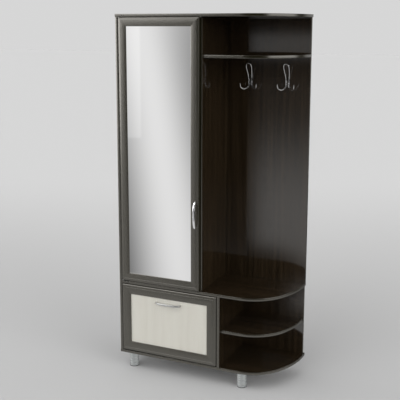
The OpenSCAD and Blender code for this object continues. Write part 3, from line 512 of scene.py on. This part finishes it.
# Wire or a bar carried along a path: at each point a ring in the plane square to the path,
# thick |cos t|^square one way and wide |sin t|^square the other, with their signs
def sweep(path, across, thick, wide, count, square=1.0):
    path = np.asarray(path, dtype=float)
    ahead = np.gradient(path, axis=0)
    ahead /= np.linalg.norm(ahead, axis=1, keepdims=True)
    u = np.cross(ahead, across)
    u /= np.linalg.norm(u, axis=1, keepdims=True)
    v = np.cross(u, ahead)
    turn = np.linspace(0, 2 * np.pi, count, endpoint=False)
    c, s = (np.sign(part) * np.abs(part) ** square for part in (np.cos(turn), np.sin(turn)))
    ring = (c[None, :, None] * u[:, None] * np.reshape(thick, (-1, 1, 1)) +
            s[None, :, None] * v[:, None] * np.reshape(wide, (-1, 1, 1)))
    return (path[:, None] + ring).reshape(-1, 3), closedRings(len(path), count)


# Bow handle: at angle t from -90 to 90 degrees it stands cos(t)^power out and runs sin(t)^power
# along, half of a squared-off ellipse, and its width shrinks from the middle to the ends
handleValues = {"thickness": 0.0075, "middleWidth": 0.013, "endWidth": 0.008, "power": 0.72,
                "square": 0.55, "steps": 90, "around": 32, "crease": 50.0}


def bowHandle(node, body, finish, upright):
    low, high = corners(node)
    h = handleValues
    along, across = (2, 0) if upright else (0, 2)
    t = np.linspace(-1, 1, h["steps"])
    angle = t * np.pi / 2
    reach = high[1] - low[1] - h["thickness"] / 2
    half = (high[along] - low[along]) / 2 - h["thickness"] / 2
    middle = (low + high) / 2
    path = np.zeros((len(t), 3))
    path[:, along] = middle[along] + half * np.sign(angle) * np.abs(np.sin(angle)) ** h["power"]
    path[:, across] = middle[across]
    path[:, 1] = high[1] - reach * np.cos(angle) ** h["power"]
    width = (h["middleWidth"] + (h["endWidth"] - h["middleWidth"]) * t * t) / 2
    points, faces = sweep(path, np.eye(3)[across], np.full(len(t), h["thickness"] / 2), width,
                          h["around"], h["square"])
    meshPiece(node + ".bow", points, faces, body, [finish], [node], h["crease"])


bowHandle("door_handle", "door", "chrome", True)
bowHandle("flap_handle", "flap", "satin", False)


# Coat hook: the same bend points as the CAD wire, joined by a Catmull-Rom curve. Between bends
# b and c, with a before and d after them, it is the cubic with slopes (c - a)/2 and (d - b)/2.
hookValues = {"wire": 0.005, "thinner": 0.0008, "halfWidth": 0.05, "prongOut": 0.043,
              "loopOut": 0.043, "loopHeight": 0.114, "wireGap": 0.013, "plate": 0.004,
              "bow": 0.00049, "stepsPerBend": 14, "around": 16, "lean": 0.02, "crease": 60.0}


def hookPath():
    h = hookValues
    x = (h["wireGap"] + h["wire"]) / 2
    y = h["plate"] + h["wire"] / 2 + h["bow"]
    w, p, loop, top = h["halfWidth"], h["prongOut"], h["loopOut"], h["loopHeight"]
    half = np.array([
        [w, -p, -0.003], [w - 0.003, -p + 0.004, -0.024],  # prong's tip
        [w * 0.68, -p + 0.017, -0.035], [w * 0.38, -y - 0.007, -0.030],  # prong's bow
        [x, -y, -0.014], [x, -y, 0.0], [x, -y, 0.014],  # held by the bracket
        [x + 0.002, -y - 0.004, 0.044], [0.015, -loop * 0.6, top - 0.036],  # up the loop
        [0.015, -loop * 0.85, top - 0.012], [0.008, -loop + 0.001, top - 0.002]])
    bends = np.concatenate([half, [[0, -loop, top]], half[::-1] * [-1, 1, 1]])
    start = np.arange(len(bends) - 1)
    a, b, c, d = (bends[np.clip(start + step, 0, len(bends) - 1)][:, None]
                  for step in (-1, 0, 1, 2))
    t = np.linspace(0, 1, h["stepsPerBend"], endpoint=False)[None, :, None]
    curve = 0.5 * (2 * b + (c - a) * t + (2 * a - 5 * b + 4 * c - d) * t ** 2 +
                   (3 * b - a - 3 * c + d) * t ** 3)
    return np.concatenate([curve.reshape(-1, 3), bends[-1:]])


wirePath = hookPath()
wireRadius = np.full(len(wirePath), hookValues["wire"] / 2 - hookValues["thinner"])
for node in ("coat_hook_left", "coat_hook_right"):
    low, high = corners(node)
    place = np.array([(low[0] + high[0]) / 2, corners("bay_back")[0][1],
                      high[2] - hookValues["loopHeight"] - hookValues["wire"] / 2])
    across = np.array([0, 1.0, hookValues["lean"]])
    points, faces = sweep(wirePath + place, across, wireRadius, wireRadius, hookValues["around"])
    meshPiece(node + ".wire", points, faces, "cabinet", ["chrome"], [node],
              hookValues["crease"])
print("handles and hooks made")


# Legs: a profile (radius, height) turned about each leg's own axis, so that at angle t a point
# stands at radius cos t and radius sin t from it. Both ends are chamfered, and a fine groove marks
# the joint above the foot. radius is the CAD leg's.
legValues = {"radius": 0.030, "thinner": 0.0025, "chamfer": 0.0012, "joint": 0.012,
             "around": 96, "crease": 30.0}


def legProfile(bottom, top):
    e, joint = legValues["chamfer"], bottom + legValues["joint"]
    r = legValues["radius"] - legValues["thinner"]
    # steps inwards and away from an end or from the joint, counted in chamfers
    end = np.array([(2.0, 0.0), (0.3, 0.3), (0.0, 1.0), (0.0, 1.5)])
    groove = np.array([(0.0, -1.5), (0.0, -1.0), (0.6, -0.5), (0.6, 0.5), (0.0, 1.0), (0.0, 1.5)])
    return np.concatenate([[r, bottom] + end * [-e, e], [r, joint] + groove * [-e, e],
                           [r, top] + end[::-1] * [-e, -e]])


def turned(profile, x, y, count):
    turn = np.linspace(0, 2 * np.pi, count, endpoint=False)
    points = np.stack([x + profile[:, :1] * np.cos(turn), y + profile[:, :1] * np.sin(turn),
                       np.repeat(profile[:, 1:], count, axis=1)], axis=-1)
    return points.reshape(-1, 3), closedRings(len(profile), count)


low, high = corners("legs")
radius = legValues["radius"]
allPoints, allFaces = [], []
for x in (low[0] + radius, high[0] - radius):
    for y in (low[1] + radius, high[1] - radius):
        points, faces = turned(legProfile(low[2], high[2]), x, y, legValues["around"])
        allFaces += [face + len(points) * len(allPoints) for face in faces]
        allPoints.append(points)
meshPiece("legs.turned", np.concatenate(allPoints), allFaces, "cabinet", ["leg"], ["legs"],
          legValues["crease"])
print("legs made")


# Every CAD node that stays gets the finish of its material
kept = {
    "cream": ["flap_insert"],
    "mirror": ["door_mirror"],
    "chrome": ["hanging_rail", "hook_screws"],
    "black": ["leg_pads", "door_catch", "flap_catch", "shoe_tray_lower", "shoe_tray_upper",
              "rack_bracket_left", "rack_bracket_right"],
    "fibre": ["wardrobe_back", "shoe_bay_back", "door_backing"],
    "beech": ["dowels"],
    "darkSteel": ["door_pivot_plates", "pivot_screws", "hook_brackets"],
    "uprightBoard": ["screw_caps"],
    "zinc": ["shelf_pins", "rail_brackets", "rail_screws", "leg_plates", "leg_screws",
             "cabinet_screws", "back_nails", "flap_pivot_pins", "door_handle_screws",
             "door_bushes", "door_strike", "flap_handle_screws", "rack_screws", "flap_strike"],
}
for finish, nodes in kept.items():
    for node in nodes:
        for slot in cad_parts[node].material_slots:
            slot.material = finishes[finish]
print("kept nodes dressed:", sum(len(nodes) for nodes in kept.values()))


# Stage: a pale floor whose tone rises with the distance behind the unit, along the camera's view.
# The rise is painted light: it stands in for studio light, dimmer near the unit and brighter
# further back.
stageValues = {"near": (0.458, 0.458, 0.458), "far": (0.549, 0.549, 0.549), "rise": (0.8, 6.0),
               "turn": 23.4, "reach": 60.0, "sky": 0.675, "roughness": 0.9}


def floorFinish():
    material, make = newMaterial("floorPaintedLight")
    coords = make.node("ShaderNodeTexCoord", output="Object")
    turnedCoords = make.node("ShaderNodeVectorRotate", {"rotation_type": "Z_AXIS"},
                             {"Vector": coords, "Angle": -math.radians(stageValues["turn"])})
    depth = make.node("ShaderNodeSeparateXYZ", {}, {0: turnedCoords}, output=1)
    # painted light: the floor is darker near the unit and paler further back
    tone = make.mix(make.band(depth, *stageValues["rise"]), stageValues["near"],
                    stageValues["far"])
    make.surface({"Base Color": tone, "Roughness": stageValues["roughness"],
                  "Specular IOR Level": 0.0})
    return material


floorMesh = bpy.data.meshes.new("floor")
reach = stageValues["reach"]
floorCorners = [(-reach, -reach, 0), (reach, -reach, 0), (reach, reach, 0), (-reach, reach, 0)]
floorMesh.from_pydata(floorCorners, [], [(0, 1, 2, 3)])
floorMesh.materials.append(floorFinish())
floor = bpy.data.objects.new("floor", floorMesh)
bpy.context.scene.collection.objects.link(floor)
floor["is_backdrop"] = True
floor.visible_glossy = False

# World: plain light for matt surfaces, and for gloss a studio of soft shapes over two angles in
# degrees, side s (0 in front, positive to the right) and level h.
# Ground: pale below the horizon over a faint haze. Right of sideRange it starts sideDrop lower,
# and towards the back it is darker.
# Shade: a strip and an oval patch that take the ground away, left of and below the light that
# the open bay's back shows.
# Leaning: what the mirror shows in its own range instead of the ground,
# base + slope h + slope2 h^2 + (peak + lift h + lift2 h^2) exp(-q^2), with
# q = (s - place - lean h - bend h^2) / (width + widen h).
# Boxes: soft lights, each (strength, left, right, lower, upper, softness).
worldValues = {
    "fill": 0.66, "ground": 0.66, "groundRange": (5.12, 13.64),
    "haze": 0.085, "hazeRange": (2.2, 4.8), "sideDrop": 8.5, "sideRange": (-12.0, -4.0),
    "behind": 0.5, "behindRange": (95.0, 145.0),
    "shade": {"depth": 1.0, "strip": (-23.4, -19.78, 0.96), "stripFoot": (-19.5, -18.0),
              "side": -19.67, "level": -18.79, "wide": 5.08, "high": 2.816,
              "patchRange": (0.2, 1.34)},
    "leaning": {"base": 0.2906, "slope": 0.04327, "slope2": 0.001055,
                "peak": 0.5178, "lift": -0.04301, "lift2": -0.001186,
                "place": -28.566, "lean": -0.1600, "bend": -0.00001, "width": 2.738,
                "widen": -0.07106, "sides": (-30.4, -24.2, 0.5), "levels": (-20.5, 4.0, 1.5)},
    "boxes": [(5.2, -60.0, -35.5, -7.5, 20.0, 3.0), (2.2, -35.5, -23.4, 3.0, 20.0, 2.0),
              (1.5, 50.0, 118.0, -9.0, 30.0, 5.0), (0.6, 138.0, 200.0, -9.0, 30.0, 4.0),
              (0.42, -20.2, -12.0, -2.0, -0.3, 0.3), (0.0846, -33.0, -28.6, -8.12, 2.0, 0.1),
              (3.6, -48.0, -14.0, 30.5, 56.0, 3.0), (3.6, -16.7, -9.0, 19.5, 20.7, 0.8),
              (0.75, -200.0, 200.0, 34.0, 100.0, 3.0)],
    "mostLevelSoft": 3.0}
world = bpy.data.worlds.new("studio")
world.use_nodes = True
bpy.context.scene.world = world
make = Maker(world.node_tree)
direction = make.node("ShaderNodeTexCoord", output="Generated")
dx, dy, dz = (make.node("ShaderNodeSeparateXYZ", {}, {0: direction}, output=axis)
              for axis in range(3))
degrees = 180 / math.pi
side = make.maths("ARCTAN2", dx, dy * -1.0) * degrees
level = make.maths("ARCSINE", dz) * degrees


def within(value, low, high, soft):
    return make.band(value, low - soft, low + soft) * \
        (1.0 - make.band(value, high - soft, high + soft))


w = worldValues
below = level * -1.0 - make.band(side, *w["sideRange"]) * w["sideDrop"]
ground = make.band(below, *w["groundRange"]) * (w["ground"] - w["haze"]) + \
    make.band(below, *w["hazeRange"]) * w["haze"]
away = make.maths("ABSOLUTE", side)
ground = ground * (1.0 - make.band(away, *w["behindRange"]) * w["behind"])

shade = w["shade"]
strip = within(side, *shade["strip"]) * make.band(level, *shade["stripFoot"])
far = ((side - shade["side"]) / shade["wide"]) ** 2 + \
    ((level - shade["level"]) / shade["high"]) ** 2
patch = 1.0 - make.band(far, *shade["patchRange"])
ground = ground * (1.0 - (strip + patch - strip * patch) * shade["depth"])

leaning = w["leaning"]
offset = (side - leaning["place"] - level * leaning["lean"] - level * level * leaning["bend"]) / \
    (level * leaning["widen"] + leaning["width"])
bell = make.maths("EXPONENT", offset * offset * -1.0)
mirrored = leaning["base"] + level * leaning["slope"] + level * level * leaning["slope2"] + \
    bell * (leaning["peak"] + level * leaning["lift"] + level * level * leaning["lift2"])
region = within(side, *leaning["sides"]) * within(level, *leaning["levels"])
gloss = ground + region * (mirrored - ground)
for strength, left, right, lower, upper, soft in w["boxes"]:
    levelSoft = min(soft, w["mostLevelSoft"])
    gloss = gloss + within(side, left, right, soft) * \
        within(level, lower, upper, levelSoft) * strength

isCamera = make.node("ShaderNodeLightPath", output="Is Camera Ray")
isGlossy = make.node("ShaderNodeLightPath", output="Is Glossy Ray")
seen = isGlossy * gloss + (1.0 - isGlossy) * w["fill"]
strength = isCamera * stageValues["sky"] + (1.0 - isCamera) * seen
background = make.node("ShaderNodeBackground", {},
                       {"Color": (1.0, 1.0, 1.0), "Strength": strength})
make.node("ShaderNodeOutputWorld", {}, {"Surface": background})

# Lamps: wide soft suns, each (strength, side angle, height angle, spread) in degrees
lampValues = {"key": (1.25, -30.0, 33.0, 60.0), "left": (1.8, -82.0, 9.0, 40.0),
              "overhead": (0.35, 10.0, 80.0, 70.0), "low": (2.0, 72.0, 12.0, 50.0)}
for name, (power, sideAngle, heightAngle, spread) in lampValues.items():
    lamp = bpy.data.lights.new(name, "SUN")
    lamp.energy = power
    lamp.angle = math.radians(spread)
    holder = bpy.data.objects.new(name, lamp)
    a, b = math.radians(sideAngle), math.radians(heightAngle)
    towards = Vector((math.sin(a) * math.cos(b), -math.cos(a) * math.cos(b), math.sin(b)))
    holder.rotation_euler = towards.to_track_quat("Z", "Y").to_euler()
    bpy.context.scene.collection.objects.link(holder)
    holder.visible_glossy = False

# Camera: worked out from the photo's edges
cameraValues = {"place": (1.6899, -3.9489, 2.0433), "turn": 23.426, "tilt": 9.915, "roll": 0.16,
                "lens": 67.6, "sensor": 36.0, "shiftX": -0.021, "shiftY": -0.0975}
c = cameraValues
cameraData = bpy.data.cameras.new("camera")
cameraData.lens = c["lens"]
cameraData.sensor_width = c["sensor"]
cameraData.shift_x, cameraData.shift_y = c["shiftX"], c["shiftY"]
camera = bpy.data.objects.new("camera", cameraData)
turns = ((c["turn"], "Z"), (90 - c["tilt"], "X"), (c["roll"], "Z"))
turn, tilt, roll = (Matrix.Rotation(math.radians(angle), 4, axis) for angle, axis in turns)
camera.matrix_world = Matrix.Translation(c["place"]) @ turn @ tilt @ roll
bpy.context.scene.collection.objects.link(camera)
bpy.context.scene.camera = camera
bpy.context.scene.view_settings.view_transform = "Standard"
print("stage, lamps and camera set")

low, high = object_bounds()
